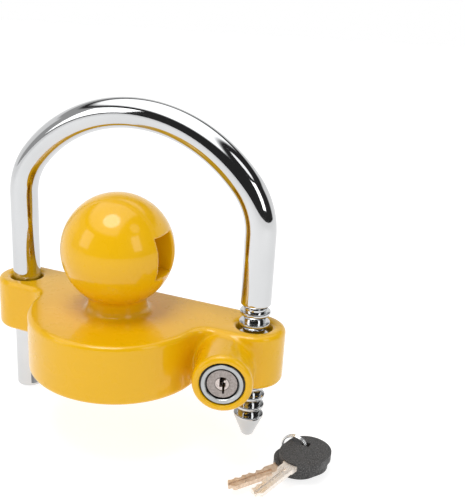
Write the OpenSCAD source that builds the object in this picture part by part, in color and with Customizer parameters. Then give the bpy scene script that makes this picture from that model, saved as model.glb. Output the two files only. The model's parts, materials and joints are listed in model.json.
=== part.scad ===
// Trailer coupler lock: a lock body whose ball fills the coupler socket, a ratcheting
// U shackle that closes over the tongue, a wafer lock that drives the pawl, and two keys.
// Millimetres, +Z up. Origin: centre of the ball. Lock face towards -Y, ratchet leg at +X.

/* [Ball and plate] */
// Diameter of the coupler ball (1-7/8 in)
ball_d = 47.625; // [46:0.005:48.5]
// Height of the ball centre above the plate
ball_h = 26.9; // [26:0.1:29]
// Thickness of the plate
plate_t = 25.4; // [24.5:0.1:27]
// Radius of the round front of the plate
plate_r = 38; // [36:0.5:41]
// Radius of the rounding on the casting's outer edges
edge_r = 2; // [1.5:0.1:2.2]
// Diameter of the neck under the ball
neck_d = 25; // [22:0.5:27]

/* [Shackle] */
// Diameter of the shackle rod (1/2 in)
rod_d = 12.7; // [12.2:0.1:12.8]
// Distance between the two leg centres
leg_gap = 114.5; // [112:0.5:118]
// Height of the crown's centreline above the ball centre
crown_z = 54.6; // [52:0.1:60]
// Centreline radius of the shoulders
bend_r = 29.4; // [26:0.1:32]
// Angle at which the shoulders meet the crown
shoulder_a = 40; // [38:1:44]
// Depth of the plain leg's end below the ball centre
plain_end = 83; // [82.6:0.1:83.4]
// Height of one ratchet step (3/16 in)
ring_pitch = 4.7625; // [4.76:0.0005:4.765]

/* [Ears] */
// Distance of the shackle plane behind the ball centre
leg_y = 13.5; // [13:0.1:14]
// Radius of the rounded ears
ear_r = 13; // [12.8:0.1:13.4]
// Diameter of the two leg holes
leg_hole_d = 14.5; // [14.2:0.1:14.6]

/* [Lock cylinder] */
// Angle by which the lock face is turned towards the ratchet side
face_turn = 19; // [17:0.5:21]
// Outer diameter of the yellow barrel
barrel_d = 24; // [23.5:0.1:25]
// Diameter of the lock cylinder's shell
shell_d = 17.8; // [17.6:0.1:17.9]
// Diameter of the turning plug
plug_d = 12.4; // [12.3:0.05:12.45]

/* [Keys] */
// Width of the key blade
blade_w = 5.2; // [5:0.1:5.4]
// Thickness of one plastic key head
head_t = 3.4; // [3.2:0.1:3.5]

/* [Hidden] */

$fn = 96;
e = 0.01;
yellow = [0.93, 0.70, 0.16];
chrome = [0.82, 0.83, 0.85];
zinc = [0.72, 0.74, 0.76];
plug_grey = [0.62, 0.58, 0.56];
brass = [0.78, 0.66, 0.36];
steel = [0.55, 0.56, 0.58];

ball_r = ball_d / 2;
plate_z = -ball_h;                 // top of the plate
plate_b = plate_z - plate_t;       // underside of the plate
leg_x = leg_gap / 2;
rod_r = rod_d / 2;
hole_r = leg_hole_d / 2;
back_y = leg_y + ear_r;            // flat back of the plate
ear_rise = 2;                      // the ears stop this far above the plate's underside
barrel_z = -40.4;                  // height of the lock cylinder's axis
face_dist = 28.6;                  // lock face in front of the ratchet leg's axis
side_off = 10.8;                   // cylinder axis beside the ratchet leg's axis
shell_r = shell_d / 2;
plug_r = plug_d / 2;

// ratchet leg
full_end = -16.9;                  // end of the full rod diameter
first_ledge = -20.1;               // ledge of the first ratchet ring
ring_n = 10;                       // rings above the cone
root_r = 4.6;                      // radius between the rings
tip_z = -78.4;
// plain leg: a flat milled along its inner rear side leaves a foot at the end
flat_h = 1.0;                      // flat to leg axis
flat_turn = 30;                    // direction of the flat, from +X towards +Y
flat_top = -28.2;
foot_top = -81.6;
stop_pin_r = 2;
stop_pin_z = -45;

// cylinder depths, measured behind the lock face
shell_len = 20.3;
pocket_end = 32.7;
pawl_s0 = 24.0;
pawl_s1 = 32.4;
pawl_half = 4.0;
tip_q = side_off - 6.55;           // pawl tip when drawn back
cam_r = 1.2;                       // crank radius of the cam pin
cam_pin_r = 1.0;
wafer_n = 5;
wafer_t = 1.4;
wafer_s0 = 3.8;
wafer_pitch = 2.4;

// keys lie flat in front of the ratchet side
key_z1 = -78.0;                    // underside of the upper head
key_z2 = -81.6;                    // underside of the lower head
ring_c = [79.3, 12.2, -78.1];      // centre of the split ring
ring_turn = -5;                    // direction from the ring's centre to the slots, from +X
ring_r = 5.5;
wire_r = 0.55;
slot_d = 4.9;                      // slot centre from the ring's centre

// ---- helpers ----
module at_leg(side) translate([side * leg_x, leg_y, 0]) children();

// local frame of the lock: origin on the face, x to the right, y up, z out of the face
module at_lock()
    translate([leg_x, leg_y, barrel_z]) rotate([0, 0, face_turn]) rotate([90, 0, 0])
        translate([-side_off, 0, face_dist]) children();

module rounded_half(r, t, f) {     // half section of a disc with rounded rims
    square([r - f, t]);
    translate([0, f]) square([r, t - 2 * f]);
    for (y = [f, t - f]) translate([r - f, y]) circle(f);
}

module rounded_bar(w, t, f) {      // full section of a bar with rounded edges
    translate([0, f]) square([w, t - 2 * f]);
    translate([f, 0]) square([w - 2 * f, t]);
    for (x = [f, w - f], y = [f, t - f]) translate([x, y]) circle(f);
}

// coil spring along +Z: nc turns, rs coil radius, rw wire radius, len between its end faces
module coil(nc, rs, rw, len, steps, sides) {
    n = nc * steps;
    lift = len - 2 * rw;
    pts = [for (i = [0 : n], j = [0 : sides - 1])
        let (a = 360 * i / steps, b = 360 * j / sides, r = rs + rw * cos(b))
        [r * cos(a), r * sin(a), rw + lift * i / n + rw * sin(b)]];
    sidesf = [for (i = [0 : n - 1], j = [0 : sides - 1])
        let (k = (j + 1) % sides, a = i * sides, b = a + sides)
        for (f = [[a + j, a + k, b + k], [a + j, b + k, b + j]]) f];
    polyhedron(points = pts, faces = concat(sidesf,
        [[for (j = [sides - 1 : -1 : 0]) j]], [[for (j = [0 : sides - 1]) n * sides + j]]),
        convexity = 10);
}

// ---- casting ----
module plate() {
    intersection() {
        translate([0, 0, plate_b]) rotate_extrude() rounded_half(plate_r, plate_t, edge_r);
        translate([-60, -60, plate_b - 1]) cube([120, 60 + back_y - edge_r, plate_t + 2]);
    }
    ears_b = plate_b + ear_rise;
    ears_t = plate_t - ear_rise;
    for (s = [-1, 1]) at_leg(s) translate([0, 0, ears_b])
        rotate_extrude() rounded_half(ear_r, ears_t, edge_r);
    translate([-leg_x, back_y, ears_b]) rotate([90, 0, 90])
        linear_extrude(leg_gap) mirror([1, 0]) rounded_bar(2 * ear_r, ears_t, edge_r);
    // the deeper middle of the back wall
    half = 27;
    translate([-half, back_y, plate_b]) rotate([90, 0, 90])
        linear_extrude(2 * half) mirror([1, 0]) rounded_bar(2 * ear_r, plate_t, edge_r);
}

module neck() {
    f = 1.6;
    translate([0, 0, plate_z - 1]) cylinder(h = ball_h - 8, d = neck_d);
    // foot fillet
    rotate_extrude() difference() {
        translate([0, plate_z - 1]) square([neck_d / 2 + f, f + 1]);
        translate([neck_d / 2 + f, plate_z + f]) circle(f);
    }
}

module barrel() at_lock() rotate([180, 0, 0]) rotate_extrude() {
    r = barrel_d / 2;
    square([r - edge_r, 26]);
    translate([0, edge_r]) square([r, 26 - edge_r]);
    translate([r - edge_r, edge_r]) circle(edge_r);
}

module ball_pockets() {
    w = 12.8;
    for (s = [0, 180]) rotate([0, 0, s]) translate([10.5, 0, -7.4]) {
        translate([2, -w / 2, 0]) cube([20, w, 16.9]);
        translate([0, -w / 2 + 2, 0]) cube([22, w - 4, 16.9]);
        for (y = [-1, 1]) translate([2, y * (w / 2 - 2), 0]) cylinder(h = 16.9, r = 2);
    }
}

module leg_holes() for (s = [-1, 1]) at_leg(s) {
    translate([0, 0, plate_b - 1]) cylinder(h = plate_t + 2, r = hole_r);
    translate([0, 0, plate_z - 0.8]) cylinder(h = 0.8 + e, r1 = hole_r, r2 = hole_r + 0.8);
    translate([0, 0, plate_b + ear_rise - e])
        cylinder(h = 0.8 + e, r1 = hole_r + 0.8, r2 = hole_r);
}

module cylinder_cavity() at_lock() {
    translate([0, 0, -shell_len - 0.1]) cylinder(h = shell_len + 1, r = shell_r + 0.05);
    translate([0, 0, -0.7]) cylinder(h = 0.8, r1 = shell_r + 0.05, r2 = shell_r + 0.65);
    // pocket of the pawl and cam, open into the ratchet leg's hole
    translate([-8.2, -pawl_half - 0.1, -pocket_end])
        cube([13.4, 2 * pawl_half + 0.2, pocket_end - shell_len + 0.1]);
    // cross hole of the retaining pin
    translate([0, -barrel_d / 2 - 1, -10]) rotate([-90, 0, 0]) cylinder(h = 6, r = 1.25, $fn = 48);
}

// axis of the plain leg's stop pin, pointing forwards through the casting
module at_stop_pin() at_leg(-1) rotate([0, 0, flat_turn])
    translate([flat_h + 0.15 + stop_pin_r, 0, stop_pin_z]) rotate([90, 0, 0]) children();

module body_casting() color(yellow) difference() {
    union() {
        sphere(ball_r);
        neck();
        plate();
        barrel();
    }
    ball_pockets();
    leg_holes();
    cylinder_cavity();
    at_stop_pin() translate([0, 0, -20]) cylinder(h = 31.6, r = stop_pin_r + 0.02, $fn = 48);
}

// ---- shackle ----
bend_x = leg_x - bend_r;
crown_r = bend_r + bend_x / cos(shoulder_a);
bend_z = crown_z - crown_r + (crown_r - bend_r) * sin(shoulder_a);

// a move in two steps, so that the rod's sections meet face to face
function coarse(v) = [for (x = v) floor(x * 1000) / 1000];
module place(v) translate(coarse(v)) translate(v - coarse(v)) children();

module arc(c, r, a0, a1) place([c[0], leg_y, c[1]]) rotate([90, 0, 0])
    rotate_extrude(angle = a1 - a0, start = a0) place([r, 0, 0]) circle(rod_r);

function ring_z(k) = first_ledge - k * ring_pitch;

module ratchet_leg() {
    land = 1.0; under = 2.0; ch = 0.35;
    place([leg_x, leg_y, bend_z]) translate([0, 0, -30]) cylinder(h = 30, r = rod_r);
    at_leg(1) rotate_extrude() polygon(concat(
        [[0, -5], [rod_r, -5], [rod_r, full_end],
         [root_r, full_end - (rod_r - root_r)]],
        [for (k = [0 : ring_n - 1]) for (p = [
            [root_r, ring_z(k)], [rod_r - ch, ring_z(k)], [rod_r, ring_z(k) - ch],
            [rod_r, ring_z(k) - land], [root_r, ring_z(k) - land - under]]) p],
        [[root_r, ring_z(ring_n)], [rod_r - ch, ring_z(ring_n)],
         [rod_r, ring_z(ring_n) - ch], [rod_r, ring_z(ring_n) - land],
         [2.7, tip_z + 0.9], [2.2, tip_z + 0.25], [1.6, tip_z], [0, tip_z]]));
}

module plain_leg() difference() {
    union() {
        place([-leg_x, leg_y, bend_z]) translate([0, 0, -80]) cylinder(h = 80, r = rod_r);
        at_leg(-1) rotate_extrude() polygon([[0, -60], [rod_r, -60], [rod_r, 0.6 - plain_end],
            [rod_r - 0.6, -plain_end], [0, -plain_end]]);
    }
    at_leg(-1) rotate([0, 0, flat_turn]) translate([flat_h, -10, foot_top])
        cube([10, 20, flat_top - foot_top]);
}

module shackle() color(chrome) {
    ratchet_leg();
    plain_leg();
    arc([bend_x, bend_z], bend_r, 0, shoulder_a);
    arc([0, crown_z - crown_r], crown_r, shoulder_a, 180 - shoulder_a);
    arc([-bend_x, bend_z], bend_r, 180 - shoulder_a, 180);
}

// ---- lock cylinder ----
module keyway(grow) {              // section of the keyway, blade upright, cuts upwards
    translate([-1.05 - grow, -1.3]) square([2.45 + 2 * grow, 4.05 + grow]);
    translate([0.1 - grow, -4.2 - grow]) square([0.9 + 2 * grow, 4]);
}

module keyway_cut() linear_extrude(22, center = true) difference() {
    keyway(0);
    translate([0.65, 0.7]) square([1, 0.9]);
}

function wafer_s(i) = wafer_s0 + i * wafer_pitch;

module cylinder_shell() color(zinc) at_lock() difference() {
    union() {
        translate([0, 0, -shell_len]) cylinder(h = shell_len - 1.5, r = shell_r);
        translate([0, 0, -2]) cylinder(h = 1.4, r = shell_r - 0.4);
        translate([0, 0, -0.6]) cylinder(h = 0.3, r1 = shell_r - 0.4, r2 = shell_r - 0.7);
    }
    translate([0, 0, -18.3]) cylinder(h = 20, r = plug_r + 0.06);
    translate([0, 0, -1.7]) cylinder(h = 2, r = plug_r + 0.3);
    translate([0, 0, -0.7]) cylinder(h = 0.5, r1 = plug_r + 0.3, r2 = plug_r + 0.8);
    translate([0, 0, -21]) cylinder(h = 4, r = 3.06);
    translate([-3.9, 4.6, -wafer_s(wafer_n - 1) - 1.2])
        cube([7.8, 2.9, (wafer_n - 1) * wafer_pitch + 2.4]);
    translate([0, -shell_r - 1, -10]) rotate([-90, 0, 0]) cylinder(h = 2.9, r = 1.25, $fn = 48);
}

module lock_plug() color(plug_grey) at_lock() difference() {
    union() {
        translate([0, 0, -18.2]) cylinder(h = 16.9, r = plug_r);
        translate([0, 0, -1.3]) cylinder(h = 0.3, r1 = plug_r, r2 = plug_r - 0.3);
        translate([0, 0, -20.6]) cylinder(h = 3, r = 3);
        translate([-2, -2, -22.4]) cube([4, 4, 3]);
    }
    // a fine groove round the middle of the face
    translate([0, 0, -1.3]) difference() {
        cylinder(h = 1, r = 2.95);
        translate([0, 0, -1]) cylinder(h = 3, r = 2.7);
    }
    translate([0, 0, -5.5]) keyway_cut();
    for (i = [0 : wafer_n - 1]) translate([-3.65, -5.1, -wafer_s(i) - 0.75])
        cube([7.3, 13, 1.5]);
    translate([-5, 0, -21.5]) rotate([0, 90, 0]) cylinder(h = 10, r = 0.62, $fn = 32);
    // index mark below the keyway
    translate([-0.25, -plug_r + 0.3, -1.2]) cube([0.5, 0.7, 1]);
}

module wafer(i) color(brass) at_lock() translate([0, 0, -wafer_s(i)])
    linear_extrude(wafer_t, center = true) difference() {
        intersection() {
            translate([-3.6, -5.0]) square([7.2, 10.2]);
            circle(plug_r - 0.05);
        }
        // window for the blade, its upper edge at this wafer's cut height
        translate([-1.6, -4.1]) square([3.4, 7.0 - 0.35 * ((i * 2) % 3)]);
        // seat of the spring
        translate([2.05, -5.1]) square([2, 3.4]);
    }
module wafer_1() wafer(0);
module wafer_2() wafer(1);
module wafer_3() wafer(2);
module wafer_4() wafer(3);
module wafer_5() wafer(4);

module wafer_spring(i) color(steel) at_lock() translate([2.85, -5.05, -wafer_s(i)])
    rotate([-90, 0, 0]) coil(4, 0.42, 0.14, 3.3, 10, 5);
module wafer_spring_1() wafer_spring(0);
module wafer_spring_2() wafer_spring(1);
module wafer_spring_3() wafer_spring(2);
module wafer_spring_4() wafer_spring(3);
module wafer_spring_5() wafer_spring(4);

module tail_cam() color(steel) at_lock() difference() {
    union() {
        translate([0, 0, -23.6]) cylinder(h = 2.9, r = 3.8);
        translate([-cam_r * cos(45), -cam_r * sin(45), -31]) cylinder(h = 8, r = cam_pin_r);
    }
    translate([-2.03, -2.03, -22.5]) cube([4.06, 4.06, 3]);
    translate([-5, 0, -21.5]) rotate([0, 90, 0]) cylinder(h = 10, r = 0.62, $fn = 32);
}

module cam_cross_pin() color(zinc) at_lock()
    translate([-3.6, 0, -21.5]) rotate([0, 90, 0]) cylinder(h = 7.2, r = 0.6, $fn = 32);

module cylinder_retaining_pin() color(steel) at_lock()
    translate([0, -11.5, -10]) rotate([-90, 0, 0]) cylinder(h = 4.3, r = 1.2, $fn = 48);

// ---- pawl ----
nose_y = ring_z(4) + 0.1 - barrel_z;   // underside of the nose, just above a ledge
module locking_pawl() color(steel) at_lock() difference() {
    union() {
        translate([-7.9, -pawl_half, -pawl_s1])
            cube([10.4, 2 * pawl_half, pawl_s1 - pawl_s0]);
        translate([0, 0, -face_dist - 3]) linear_extrude(6) polygon([[2, nose_y],
            [tip_q, nose_y], [tip_q, nose_y + 1.25], [tip_q - 1.35, pawl_half], [2, pawl_half]]);
    }
    // slot of the cam pin, with lost motion towards the leg
    translate([-1.95, -2.4, -31.3]) cube([3.9, 2.75, 9]);
    // spring seat
    translate([-8.5, 0, -28.2]) rotate([0, 90, 0]) cylinder(h = 5.1, r = 2.3, $fn = 48);
}

module pawl_spring() color(zinc) at_lock() translate([-8.15, 0, -28.2]) rotate([0, 90, 0])
    coil(4, 1.8, 0.28, 4.65, 14, 6);

module shackle_retaining_pin() color(steel) at_stop_pin()
    translate([0, 0, -12.4]) cylinder(h = 23.8, r = stop_pin_r, $fn = 48);

// ---- keys ----
// key frame: origin at the slot's centre, blade along +x, cuts towards -y
module at_key(z, turn)
    translate(ring_c) rotate([0, 0, ring_turn]) translate([slot_d, 0, z - ring_c[2]])
        rotate([0, 0, turn - ring_turn]) children();

blade_x0 = 15.4;                   // where the blade leaves the head
blade_y = 2.4;                     // the blade's axis, beside the slot
blade_l = 25;
cut_n = 5;
cuts = [1.0, 1.6, 0.8, 1.3, 0.9];

module head_outline() translate([0, blade_y]) {
    for (x = [2.1, 6.5]) translate([x, 0]) circle(9.4);
    translate([2.1, -9.4]) square([4.4, 18.8]);
}

module key_head(slot_turn) difference() {
    linear_extrude(head_t) difference() {
        head_outline();
        rotate([0, 0, slot_turn]) translate([-1.6, -1.4]) square([3.2, 2.8]);
    }
    translate([blade_x0 - 9.05, blade_y - 3.15, head_t / 2 - 1.03]) cube([12, 6.3, 2.06]);
}

// blade in its own frame, cuts towards +y, then turned over into the head
module blade_flat() difference() {
    linear_extrude(2) {
        w = blade_w / 2;
        step = 3.4;
        translate([-9, -3.1]) square([9.8, 6.2]);
        polygon(concat(
            [[0.7, -w - 0.35], [3.2, -w - 0.35], [3.7, -w], [blade_l - 2, -w],
             [blade_l, -w + 1.7], [blade_l, -w + 2.4]],
            [for (i = [cut_n - 1 : -1 : 0]) let (x = 8.2 + step * i) for (p = [
                [x + 1.9, w - 0.4], [x + 0.5, w - cuts[i]], [x - 0.5, w - cuts[i]]]) p],
            [[5.6, w], [0.7, w]]));
    }
    // milled grooves, one on each face
    translate([4.2, -1.9, 1.45]) cube([blade_l, 1.1, 1]);
    translate([4.2, -0.2, 1.6]) cube([blade_l, 0.7, 1]);
    translate([4.2, -1.0, -0.45]) cube([blade_l, 1.2, 1]);
}

module key_blade() translate([blade_x0, blade_y, head_t / 2]) rotate([180, 0, 0])
    translate([0, 0, -1]) blade_flat();

turn_1 = -105;
turn_2 = -124;
module key_1_head() color([0.16, 0.15, 0.15]) at_key(key_z1, turn_1) key_head(ring_turn - turn_1);
module key_1_blade() color(zinc) at_key(key_z1, turn_1) key_blade();
module key_2_head() color([0.16, 0.15, 0.15]) at_key(key_z2, turn_2) key_head(ring_turn - turn_2);
module key_2_blade() color([0.74, 0.62, 0.52]) at_key(key_z2, turn_2) key_blade();

module key_ring() color(chrome) translate(ring_c) rotate([0, 0, ring_turn]) rotate([90, 0, 0])
    rotate_extrude() for (y = [-0.5, 0.5]) translate([ring_r, y]) circle(wire_r, $fn = 32);

body_casting();
shackle();
cylinder_shell();
lock_plug();
wafer_1();
wafer_2();
wafer_3();
wafer_4();
wafer_5();
wafer_spring_1();
wafer_spring_2();
wafer_spring_3();
wafer_spring_4();
wafer_spring_5();
tail_cam();
cam_cross_pin();
locking_pawl();
pawl_spring();
cylinder_retaining_pin();
shackle_retaining_pin();
key_1_blade();
key_1_head();
key_2_blade();
key_2_head();
key_ring();
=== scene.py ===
import json
import math

import bmesh
import bpy
import numpy as np
import openvdb
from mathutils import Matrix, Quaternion, Vector


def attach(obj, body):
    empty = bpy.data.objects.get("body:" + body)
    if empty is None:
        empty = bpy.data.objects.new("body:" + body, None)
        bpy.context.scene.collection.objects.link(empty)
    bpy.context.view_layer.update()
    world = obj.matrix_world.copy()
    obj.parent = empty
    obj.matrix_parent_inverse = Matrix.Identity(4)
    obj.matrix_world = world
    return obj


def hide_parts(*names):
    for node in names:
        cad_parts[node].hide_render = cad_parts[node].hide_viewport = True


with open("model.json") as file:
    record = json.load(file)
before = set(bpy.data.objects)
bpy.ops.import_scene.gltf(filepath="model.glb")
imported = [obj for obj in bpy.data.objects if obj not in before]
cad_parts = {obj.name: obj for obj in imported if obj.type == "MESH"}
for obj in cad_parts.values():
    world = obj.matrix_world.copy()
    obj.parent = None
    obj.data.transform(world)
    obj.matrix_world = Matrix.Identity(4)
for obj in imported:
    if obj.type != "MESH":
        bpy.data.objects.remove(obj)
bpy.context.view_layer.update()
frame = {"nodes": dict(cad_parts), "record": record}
MM = 0.001
scene = bpy.context.scene

# ---------------------------------------------------------------- dimensions, mm, as in the CAD
BALL_R = 23.8125
NECK_R = 12.5
PLATE_TOP, PLATE_BOTTOM, PLATE_R = -26.9, -52.3, 38.0
EAR_BOTTOM, EAR_R = -50.3, 13.0
LEG_X, LEG_Y, BACK_Y = 57.25, 13.5, 26.5
BACK_HALF = 27.0                     # half width of the deeper middle of the back wall
HOLE_R = 7.25
EDGE_R = 2.0
POCKET_HALF_Y, POCKET_HALF_Z = 6.4, 8.45
POCKET_Z, POCKET_X = 1.05, 10.5      # middle height and floor of the ball's pockets
LOCK = (56.35, -17.06, -40.4)
FACE_TURN = math.radians(19)
BARREL_R, SHELL_R = 12.0, 8.9
BORE_DEPTH = 20.4
STOP_PIN_R, STOP_PIN_Z, STOP_PIN_OFF = 2.02, -45.0, 3.15
CROSS_PIN_R, CROSS_PIN_DEPTH = 1.25, 10.0
CROWN_Z, BEND_R, SHOULDER = 54.6, 29.4, math.radians(40)
ROD_R, ROOT_R = 6.35, 4.6
FIRST_LEDGE, RINGS, PITCH = -20.1, 11, 4.7625
FLAT_TURN, FLAT_H = math.radians(30), 1.0
RING_CENTRE, RING_R, WIRE_R = (79.3, 12.2, -78.1), 5.5, 0.5
RING_TURN = math.radians(-5)
FLOOR_Z = -84.7
VOXEL = 0.6


# ---------------------------------------------------------------- node helpers
class Mat:
    """A node material with object-space detail."""

    def __init__(self, name):
        self.m = bpy.data.materials.new(name)
        self.m.use_nodes = True
        self.nt = self.m.node_tree
        self.b = next(n for n in self.nt.nodes if n.type == "BSDF_PRINCIPLED")
        self.coord = self.nt.nodes.new("ShaderNodeTexCoord").outputs["Object"]
        self.normal = None

    def node(self, kind, **props):
        n = self.nt.nodes.new(kind)
        for k, v in props.items():
            setattr(n, k, v)
        return n

    def link(self, a, b):
        self.nt.links.new(a, b)

    def set(self, **sockets):
        for k, v in sockets.items():
            self.b.inputs[k.replace("_", " ")].default_value = v
        return self

    def noise(self, scale, detail=3.0, rough=0.5, stretch=None):
        n = self.node("ShaderNodeTexNoise")
        n.inputs["Scale"].default_value = scale
        n.inputs["Detail"].default_value = detail
        n.inputs["Roughness"].default_value = rough
        src = self.coord
        if stretch:
            mp = self.node("ShaderNodeMapping")
            mp.inputs["Scale"].default_value = stretch
            self.link(src, mp.inputs["Vector"])
            src = mp.outputs["Vector"]
        self.link(src, n.inputs["Vector"])
        return n.outputs["Fac"]

    def ramp(self, fac, *stops):
        r = self.node("ShaderNodeValToRGB")
        el = r.color_ramp.elements
        while len(el) < len(stops):
            el.new(0.5)
        for e, (pos, col) in zip(el, stops):
            e.position = pos
            e.color = (*col, 1.0)
        self.link(fac, r.inputs["Fac"])
        return r.outputs["Color"]

    def range(self, fac, lo, hi, a=0.3, b=0.7):
        r = self.node("ShaderNodeMapRange")
        for k, v in (("From Min", a), ("From Max", b), ("To Min", lo), ("To Max", hi)):
            r.inputs[k].default_value = v
        self.link(fac, r.inputs["Value"])
        return r.outputs["Result"]

    def bump(self, height, strength, distance):
        n = self.node("ShaderNodeBump")
        n.inputs["Strength"].default_value = strength
        n.inputs["Distance"].default_value = distance
        self.link(height, n.inputs["Height"])
        if self.normal is not None:
            self.link(self.normal, n.inputs["Normal"])
        self.normal = n.outputs["Normal"]
        self.link(self.normal, self.b.inputs["Normal"])

    def darken(self, col, value, *edges):
        """Colour times a factor for each edge (from, to, factor before, factor after)."""
        for a, b, before, after in edges:
            f = self.range(value, before, after, a, b)
            n = self.node("ShaderNodeVectorMath", operation="SCALE")
            self.link(col, n.inputs[0])
            self.link(f, n.inputs["Scale"])
            col = n.outputs[0]
        return col

    def color(self, out):
        self.link(out, self.b.inputs["Base Color"])

    def rough(self, out):
        self.link(out, self.b.inputs["Roughness"])

    def axis_radius(self, centre, axis):
        """Distance from an axis through centre (mm), in mm."""
        sub = self.node("ShaderNodeVectorMath", operation="SUBTRACT")
        self.link(self.coord, sub.inputs[0])
        sub.inputs[1].default_value = [c * MM for c in centre]
        cross = self.node("ShaderNodeVectorMath", operation="CROSS_PRODUCT")
        self.link(sub.outputs[0], cross.inputs[0])
        cross.inputs[1].default_value = axis
        ln = self.node("ShaderNodeVectorMath", operation="LENGTH")
        self.link(cross.outputs[0], ln.inputs[0])
        mul = self.node("ShaderNodeMath", operation="MULTIPLY")
        self.link(ln.outputs["Value"], mul.inputs[0])
        mul.inputs[1].default_value = 1000.0
        return mul.outputs[0]

    def wave(self, value, period):
        """Sine of a length in mm, from 0 to 1."""
        mul = self.node("ShaderNodeMath", operation="MULTIPLY")
        self.link(value, mul.inputs[0])
        mul.inputs[1].default_value = 2 * math.pi / period
        sin = self.node("ShaderNodeMath", operation="SINE")
        self.link(mul.outputs[0], sin.inputs[0])
        return self.range(sin.outputs[0], 0.0, 1.0, -1.0, 1.0)


# ---------------------------------------------------------------- materials
def yellow_coat():
    m = Mat("yellow_powder_coat")
    m.set(Specular_IOR_Level=0.15, Coat_Weight=0.55, Coat_Roughness=0.035, Coat_IOR=1.5)
    m.color(m.ramp(m.noise(40, 2.0), (0.35, (0.775, 0.428, 0.001)), (0.65, (0.792, 0.438, 0.002))))
    m.rough(m.range(m.noise(160, 4.0), 0.24, 0.34))
    m.bump(m.noise(600, 2.0), 0.02, 0.0002)
    m.bump(m.noise(140, 2.0), 0.012, 0.0004)
    return m.m


def chrome():
    m = Mat("polished_chrome")
    m.set(Metallic=1.0)
    m.color(m.ramp(m.noise(30, 2.0), (0.3, (0.565, 0.572, 0.58)), (0.7, (0.62, 0.625, 0.632))))
    m.rough(m.range(m.noise(900, 3.0, 0.6, (1, 1, 0.12)), 0.035, 0.085))
    m.bump(m.noise(1500, 2.0, 0.5, (1, 1, 0.08)), 0.02, 0.0001)
    return m.m


def turned_zinc():
    m = Mat("turned_zinc")
    m.set(Metallic=1.0)
    axis = (math.sin(FACE_TURN), -math.cos(FACE_TURN), 0.0)
    r = m.axis_radius(LOCK, axis)
    base = m.ramp(m.noise(300, 3.0), (0.3, (0.40, 0.415, 0.42)), (0.7, (0.50, 0.515, 0.515)))
    # painted shade: dark bands at the inner and outer edges stand in for the shadow in the gaps to
    # the plug and to the casting
    m.color(m.darken(base, r, (6.56, 6.66, 0.16, 1.0), (8.12, 8.28, 1.0, 0.12)))
    m.rough(m.range(m.wave(r, 0.42), 0.22, 0.38, 0.0, 1.0))
    m.bump(m.wave(r, 0.42), 0.35, 0.00006)
    m.bump(m.noise(900, 3.0), 0.08, 0.0001)
    return m.m


def plug_metal():
    m = Mat("plug_metal")
    m.set(Metallic=0.9)
    r = m.axis_radius(LOCK, (math.sin(FACE_TURN), -math.cos(FACE_TURN), 0.0))
    base = m.ramp(m.noise(1400, 4.0, 0.7),
                  (0.32, (0.30, 0.262, 0.243)), (0.68, (0.52, 0.465, 0.44)))
    # bright middle; painted shade: a dark line for the shadow in the groove round it, and a dark
    # rim for the shadow in the gap to the shell
    m.color(m.darken(base, r, (2.55, 2.7, 1.55, 0.55), (2.75, 2.95, 1.0, 1.55),
                     (5.85, 6.05, 1.0, 0.25)))
    m.rough(m.range(m.noise(1200, 3.0), 0.32, 0.52))
    m.bump(m.noise(1800, 3.0, 0.6), 0.35, 0.0001)
    return m.m


def plain_metal(name, dark, light, r0, r1, stretch=None, grain=900, metallic=1.0):
    m = Mat(name)
    m.set(Metallic=metallic)
    m.color(m.ramp(m.noise(grain * 0.4, 3.0), (0.3, dark), (0.7, light)))
    m.rough(m.range(m.noise(grain, 3.0, 0.6, stretch), r0, r1))
    m.bump(m.noise(grain * 1.5, 2.0, 0.5, stretch), 0.12, 0.00008)
    return m.m


def key_plastic():
    m = Mat("key_plastic")
    m.set(Specular_IOR_Level=0.5)
    m.color(m.ramp(m.noise(2200, 2.0, 0.6),
                   (0.46, (0.013, 0.013, 0.014)), (0.70, (0.120, 0.115, 0.111))))
    m.rough(m.range(m.noise(700, 3.0), 0.38, 0.60))
    v = m.node("ShaderNodeTexVoronoi")
    v.inputs["Scale"].default_value = 1900
    m.link(m.coord, v.inputs["Vector"])
    m.bump(v.outputs["Distance"], 0.45, 0.00012)
    return m.m


MATS = {
    "yellow_coat": yellow_coat(),
    "chrome": chrome(),
    "zinc_shell": turned_zinc(),
    "plug_metal": plug_metal(),
    "wafer_brass": plain_metal("wafer_brass", (0.55, 0.38, 0.12), (0.75, 0.56, 0.24), 0.25, 0.42),
    "spring_steel": plain_metal("spring_steel", (0.45, 0.46, 0.48), (0.64, 0.65, 0.67), 0.2, 0.35),
    "hardened_steel": plain_metal("ground_steel", (0.36, 0.37, 0.39), (0.56, 0.57, 0.59),
                                  0.22, 0.4, (1, 1, 0.15)),
    "key_plastic": key_plastic(),
    "key_silver": plain_metal("key_nickel", (0.84, 0.76, 0.68), (0.95, 0.88, 0.81), 0.20, 0.36,
                              (0.2, 0.05, 1), 1600, 0.55),
    "key_copper": plain_metal("key_bronze", (0.62, 0.45, 0.32), (0.84, 0.67, 0.52), 0.24, 0.42,
                              (0.2, 0.05, 1), 1600, 0.55),
    "ring_wire": plain_metal("ring_wire", (0.66, 0.67, 0.68), (0.84, 0.85, 0.86), 0.08, 0.2),
}


# ---------------------------------------------------------------- mesh helpers
def mesh_object(name, verts, faces, body, slot, smooth_angle=35.0):
    me = bpy.data.meshes.new(name)
    me.from_pydata([tuple(v) for v in verts], [], [tuple(f) for f in faces])
    me.validate()
    bm = bmesh.new()
    bm.from_mesh(me)
    bmesh.ops.remove_doubles(bm, verts=bm.verts, dist=1e-7)
    bmesh.ops.recalc_face_normals(bm, faces=bm.faces)
    bm.to_mesh(me)
    bm.free()
    me.shade_smooth()
    me.set_sharp_from_angle(angle=math.radians(smooth_angle))
    ob = bpy.data.objects.new(name, me)
    scene.collection.objects.link(ob)
    me.materials.append(MATS[slot])
    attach(ob, body)
    return ob


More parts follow.
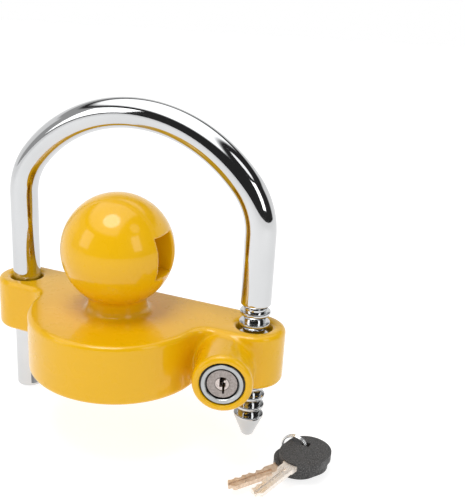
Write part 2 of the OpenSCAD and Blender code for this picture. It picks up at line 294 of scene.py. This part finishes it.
def grid_faces(n_rings, n_seg):
    """Quads between rings of vertices, closed by a face at each end."""
    faces = []
    for i in range(n_rings - 1):
        for j in range(n_seg):
            k = (j + 1) % n_seg
            a, b = i * n_seg, (i + 1) * n_seg
            faces.append((a + j, a + k, b + k, b + j))
    faces.append(tuple(range(n_seg - 1, -1, -1)))
    faces.append(tuple((n_rings - 1) * n_seg + j for j in range(n_seg)))
    return faces


# ---------------------------------------------------------------- casting, from a distance field
def smin(a, b, k):
    """Union of two distances, blended over k."""
    h = np.clip(0.5 + 0.5 * (b - a) / k, 0.0, 1.0)
    return b * (1 - h) + a * h - k * h * (1 - h)


def smax(a, b, k):
    """Intersection of two distances, blended over k."""
    return -smin(-a, -b, k)


def rounded(d, e, f):
    """Distance to where d and e are both negative, with the edge rounded by f."""
    d, e = d + f, e + f
    return np.minimum(np.maximum(d, e), 0) + np.hypot(np.maximum(d, 0), np.maximum(e, 0)) - f


def casting_field(x, y, z):
    """Distance to the casting at points in mm."""
    ball = np.sqrt(x * x + y * y + z * z) - BALL_R
    rho = np.hypot(x, y)
    neck = np.maximum(rho - NECK_R, np.abs(z + 24) - 12)

    def slab(z0, z1):
        return np.abs(z - (z0 + z1) / 2) - (z1 - z0) / 2

    # outlines in plan first, so that the blends leave the flat faces flat
    disc = smax(rho - PLATE_R, y - BACK_Y, 1.0)
    ears = np.hypot(np.maximum(np.abs(x) - LEG_X, 0), y - LEG_Y) - EAR_R
    back = np.maximum(np.abs(y - LEG_Y) - EAR_R, np.abs(x) - BACK_HALF)
    outline = np.maximum(smin(disc, ears, 9.0), y - BACK_Y)
    plate = np.minimum(rounded(outline, slab(EAR_BOTTOM, PLATE_TOP), EDGE_R),
                       rounded(np.minimum(disc, back), slab(PLATE_BOTTOM, PLATE_TOP), EDGE_R))

    c, s = math.cos(FACE_TURN), math.sin(FACE_TURN)
    q = (x - LOCK[0]) * c + (y - LOCK[1]) * s
    out = (x - LOCK[0]) * s - (y - LOCK[1]) * c
    up = z - LOCK[2]
    rl = np.sqrt(q * q + up * up)
    barrel = rounded(rl - BARREL_R, np.abs(out + 13) - 13, EDGE_R)
    body = smin(plate, barrel, 2.2)
    body = smin(body, smin(ball, neck, 1.6), 3.4)

    pocket = np.maximum(np.maximum(np.abs(y) - POCKET_HALF_Y, np.abs(z - POCKET_Z) - POCKET_HALF_Z),
                        POCKET_X - np.abs(x))
    body = smax(body, -pocket, 0.9)
    hole = np.hypot(np.abs(x) - LEG_X, y - LEG_Y) - HOLE_R
    body = smax(body, -hole, 2.2)
    bore = np.maximum(rl - SHELL_R - 0.05, -out - BORE_DEPTH)
    body = smax(body, -bore, 0.9)
    pawl = np.maximum(np.maximum(np.abs(q + 1.5) - 6.7, np.abs(up) - 4.1),
                      np.abs(out + 26.5) - 6.2)
    body = np.maximum(body, -pawl)
    # stop pin of the plain leg, and the retaining pin under the barrel
    t = FLAT_TURN
    px = -LEG_X + STOP_PIN_OFF * math.cos(t)
    py = LEG_Y + STOP_PIN_OFF * math.sin(t)
    lengthways = (x - px) * math.sin(t) - (y - py) * math.cos(t)
    across = (x - px) * math.cos(t) + (y - py) * math.sin(t)
    pin = np.maximum(np.hypot(across, z - STOP_PIN_Z) - STOP_PIN_R,
                     np.abs(lengthways + 4.2) - 15.8)
    body = np.maximum(body, -pin)
    cross = np.maximum(np.hypot(q, out + CROSS_PIN_DEPTH) - CROSS_PIN_R, np.abs(up + 10) - 3.0)
    return np.maximum(body, -cross)


def make_casting(voxel):
    """The casting's field turned into quads, in place of the CAD node."""
    lo, hi = np.array([-72.0, -40.0, -54.0]), np.array([72.0, 29.0, 26.0])
    n = np.ceil((hi - lo) / voxel).astype(int) + 1
    xs, ys, zs = (np.float32(lo[i] + voxel * np.arange(n[i])) for i in range(3))
    field = casting_field(xs[:, None, None], ys[None, :, None], zs[None, None, :])
    field = np.clip(field.astype(np.float32), -3 * voxel, 3 * voxel)
    grid = openvdb.FloatGrid(3 * voxel)
    grid.copyFromArray(field)
    points, quads = grid.convertToQuads(isovalue=0.0)
    verts = (lo + np.asarray(points) * voxel) * MM
    ob = mesh_object("casting_body", verts, np.asarray(quads), "lock_body", "yellow_coat", 50.0)
    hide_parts("body_casting")


make_casting(VOXEL)


# ---------------------------------------------------------------- shackle
def shackle_path():
    """Stations from the cone's tip over the crown to the plain leg's end.

    Each is (x, z, outward x, outward z, radius) in mm. A negative radius has the flat.
    """
    a = SHOULDER
    bend_x = LEG_X - BEND_R
    crown_r = BEND_R + bend_x / math.cos(a)
    bend_z = CROWN_Z - crown_r + (crown_r - BEND_R) * math.sin(a)
    st = []

    def down(z, r):
        st.append((LEG_X, z, 1.0, 0.0, r))

    down(-78.4, 0.3)
    down(-78.4, 1.3)
    down(-78.2, 1.95)
    down(-77.6, 2.6)
    for k in range(RINGS - 1, -1, -1):
        z = FIRST_LEDGE - k * PITCH
        if k < RINGS - 1:            # the lowest ring runs into the cone
            down(z - 3.0, ROOT_R)
            down(z - 2.9, ROOT_R + 0.05)
        down(z - 1.12, ROD_R - 0.06)
        down(z - 0.92, ROD_R)
        down(z - 0.35, ROD_R)
        down(z - 0.1, ROD_R - 0.1)
        down(z, ROD_R - 0.4)
        down(z, ROOT_R + 0.12)
        down(z + 0.1, ROOT_R)
    down(-18.8, ROOT_R)
    down(-17.0, ROD_R - 0.12)
    down(-16.75, ROD_R)
    for i in range(8):
        down(-16 + (bend_z + 15.8) * i / 7, ROD_R)

    def arc(cx, cz, r, a0, a1, n):
        for i in range(1, n + 1):
            t = a0 + (a1 - a0) * i / n
            ct, si = math.cos(t), math.sin(t)
            st.append((cx + r * ct, cz + r * si, ct, si, ROD_R))

    arc(bend_x, bend_z, BEND_R, 0, a, 18)
    arc(0, CROWN_Z - crown_r, crown_r, a, math.pi - a, 48)
    arc(-bend_x, bend_z, BEND_R, math.pi - a, math.pi, 18)
    for z in (0, -10, -20, -28.15):
        st.append((-LEG_X, z, -1.0, 0.0, ROD_R))
    for z in (-28.25, -40, -52, -66, -81.55):
        st.append((-LEG_X, z, -1.0, 0.0, -ROD_R))
    foot = ((-81.65, ROD_R), (-82.35, ROD_R), (-82.8, ROD_R - 0.2), (-83.0, ROD_R - 0.6),
            (-83.0, 0.5))
    for z, r in foot:
        st.append((-LEG_X, z, -1.0, 0.0, r))
    return st


def make_shackle():
    seg = 96
    verts = []
    flat_n = (math.cos(FLAT_TURN), math.sin(FLAT_TURN))
    stations = shackle_path()
    for cx, cz, ux, uz, r in stations:
        for j in range(seg):
            w = 2 * math.pi * j / seg
            rr = abs(r)
            dx, dy, dz = rr * math.cos(w) * ux, rr * math.sin(w), rr * math.cos(w) * uz
            if r < 0:
                over = dx * flat_n[0] + dy * flat_n[1] - FLAT_H
                if over > 0:
                    dx -= over * flat_n[0]
                    dy -= over * flat_n[1]
            verts.append(((cx + dx) * MM, (LEG_Y + dy) * MM, (cz + dz) * MM))
    faces = grid_faces(len(stations), seg)
    ob = mesh_object("shackle_bar", verts, faces, "shackle", "chrome", 30.0)
    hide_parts("shackle")


make_shackle()


# ---------------------------------------------------------------- split ring
def make_ring():
    """A coil of two turns, its ends side by side."""
    u = Vector((math.cos(RING_TURN), math.sin(RING_TURN), 0))
    w = Vector((-math.sin(RING_TURN), math.cos(RING_TURN), 0))
    n, seg = 150, 16
    start, total = math.radians(205), math.radians(2 * 360 + 8)
    verts = []
    for i in range(n):
        f = i / (n - 1)
        a = start + total * f
        side = 0.52 * math.tanh((f - 0.5) * 9)
        radial = u * math.cos(a) + Vector((0, 0, math.sin(a)))
        c = Vector(RING_CENTRE) + radial * RING_R + w * side
        r = WIRE_R * (0.8 if i in (0, n - 1) else 1.0)
        for j in range(seg):
            b = 2 * math.pi * j / seg
            verts.append((c + (radial * math.cos(b) + w * math.sin(b)) * r) * MM)
    ob = mesh_object("split_ring", verts, grid_faces(n, seg), "key_ring", "ring_wire", 60.0)
    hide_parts("key_ring")


make_ring()


# ---------------------------------------------------------------- carried-over CAD nodes
slots = {s["node"]: s["material_slot"] for s in frame["record"]["subparts"]}
for name, ob in frame["nodes"].items():
    ob.data.materials.clear()
    ob.data.materials.append(MATS[slots[name]])
    if name.startswith("key_") and name != "key_ring":
        bev = ob.modifiers.new("edge", "BEVEL")
        bev.width = (0.55 if name.endswith("head") else 0.12) * MM
        bev.segments = 3
        bev.limit_method = "ANGLE"
        bev.angle_limit = math.radians(40)


# ---------------------------------------------------------------- floor and lights
def stage_plane(name, size, loc, mat):
    me = bpy.data.meshes.new(name)
    h = size / 2
    me.from_pydata([(-h, -h, 0), (h, -h, 0), (h, h, 0), (-h, h, 0)], [], [(0, 1, 2, 3)])
    ob = bpy.data.objects.new(name, me)
    ob.location = loc
    scene.collection.objects.link(ob)
    me.materials.append(mat)
    return ob


floor_mat = Mat("floor")
floor_mat.set(Roughness=0.8, Emission_Color=(1, 1, 1, 1), Emission_Strength=0.77)
floor_mat.color(floor_mat.ramp(floor_mat.noise(3, 2.0),
                               (0.3, (0.43, 0.43, 0.43)), (0.7, (0.45, 0.45, 0.45))))
stage_plane("floor", 6.0, (0, 0, FLOOR_Z * MM), floor_mat.m)


def area(name, loc, target, size, power, size_y=None, round_shape=False):
    d = bpy.data.lights.new(name, "AREA")
    if round_shape:
        d.shape = "DISK"
    d.energy = power
    d.size = size
    if size_y:
        d.shape = "RECTANGLE"
        d.size_y = size_y
    ob = bpy.data.objects.new(name, d)
    ob.location = loc
    ob.rotation_mode = "QUATERNION"
    ob.rotation_quaternion = (Vector(target) - Vector(loc)).to_track_quat("-Z", "Y")
    scene.collection.objects.link(ob)
    return ob


area("top_soft", (-0.02, -0.20, 0.62), (0, 0, 0), 0.34, 2.1, round_shape=True)
area("left_soft", (-0.45, -0.50, 0.27), (0, 0, -0.01), 0.30, 0.82, 0.36)
area("right_soft", (0.62, -0.22, 0.30), (0.02, 0, -0.01), 0.22, 0.66, 0.36)


def mix_in(node, name):
    """The colour socket A or B of a colour Mix node."""
    return next(i for i in node.inputs if i.name == name and i.type == "RGBA")


def mix_out(node):
    return next(o for o in node.outputs if o.type == "RGBA")


# even white light on matt surfaces; polished ones see white cards with dark gaps between them
world = bpy.data.worlds.new("studio")
world.use_nodes = True
scene.world = world
wn, wl = world.node_tree.nodes, world.node_tree.links
bg = wn["Background"]
direction = wn.new("ShaderNodeTexCoord").outputs["Generated"]


def smooth_step(value, lo, hi):
    n = wn.new("ShaderNodeMapRange")
    n.interpolation_type = "SMOOTHSTEP"
    n.inputs["From Min"].default_value, n.inputs["From Max"].default_value = lo, hi
    wl.new(value, n.inputs["Value"])
    return n.outputs["Result"]


def world_math(op, a, b):
    n = wn.new("ShaderNodeMath")
    n.operation = op
    wl.new(a, n.inputs[0])
    wl.new(b, n.inputs[1])
    return n.outputs[0]


def along(x, y, z):
    n = wn.new("ShaderNodeVectorMath")
    n.operation = "DOT_PRODUCT"
    wl.new(direction, n.inputs[0])
    n.inputs[1].default_value = (x, y, z)
    return n.outputs["Value"]


def times(a, factor):
    n = wn.new("ShaderNodeMath")
    n.operation = "MULTIPLY"
    wl.new(a, n.inputs[0])
    n.inputs[1].default_value = factor
    return n.outputs[0]


# white backdrop up to a soft edge, bright card overhead, strip high on the right, grey wall on
# the left, dark room elsewhere
DARK_ROOM = 0.03
height = along(0, 0, 1)
backdrop = world_math("MULTIPLY", smooth_step(along(-0.42, 0.91, 0), 0.05, 0.25),
                      smooth_step(height, 0.50, 0.40))
overhead = world_math("MULTIPLY", smooth_step(height, 0.64, 0.74),
                      smooth_step(along(1, 0, 0), 0.40, 0.28))
strip = smooth_step(along(0.62, -0.06, 0.782), 0.984, 0.990)
left_wall = world_math("MULTIPLY", smooth_step(along(-0.95, 0.3, 0), 0.25, 0.55),
                       smooth_step(height, 0.62, 0.56))
cards = world_math("MAXIMUM", times(backdrop, 0.95), times(overhead, 1.9))
cards = world_math("MAXIMUM", cards, times(left_wall, 0.42))
cards = world_math("MAXIMUM", cards, times(strip, 1.6))
room = wn.new("ShaderNodeMath")
room.inputs[1].default_value = DARK_ROOM
wl.new(cards, room.inputs[0])
path = wn.new("ShaderNodeLightPath")
pick = wn.new("ShaderNodeMix")
pick.data_type = "RGBA"
wl.new(path.outputs["Is Glossy Ray"], pick.inputs[0])
mix_in(pick, "A").default_value = (0.50, 0.50, 0.50, 1)     # what lights matt surfaces
wl.new(room.outputs[0], mix_in(pick, "B"))
shown = wn.new("ShaderNodeMix")
shown.data_type = "RGBA"
wl.new(path.outputs["Is Camera Ray"], shown.inputs[0])
wl.new(mix_out(pick), mix_in(shown, "A"))
mix_in(shown, "B").default_value = (1.0, 1.0, 1.0, 1)
wl.new(mix_out(shown), bg.inputs["Color"])
bg.inputs["Strength"].default_value = 1.0


# ---------------------------------------------------------------- camera
cam_data = bpy.data.cameras.new("camera")
cam = bpy.data.objects.new("camera", cam_data)
scene.collection.objects.link(cam)
cam_data.sensor_width = 36.0
cam_data.lens = 54.738
cam_data.shift_x = 0.1
cam_data.clip_start = 0.01
cam_data.clip_end = 20.0
cam.location = (0.15089, -0.25939, 0.10373)
cam.rotation_mode = "QUATERNION"
cam.rotation_quaternion = Quaternion((0.791816, 0.568615, 0.115941, 0.190425))
scene.camera = cam
scene.view_settings.view_transform = "Standard"
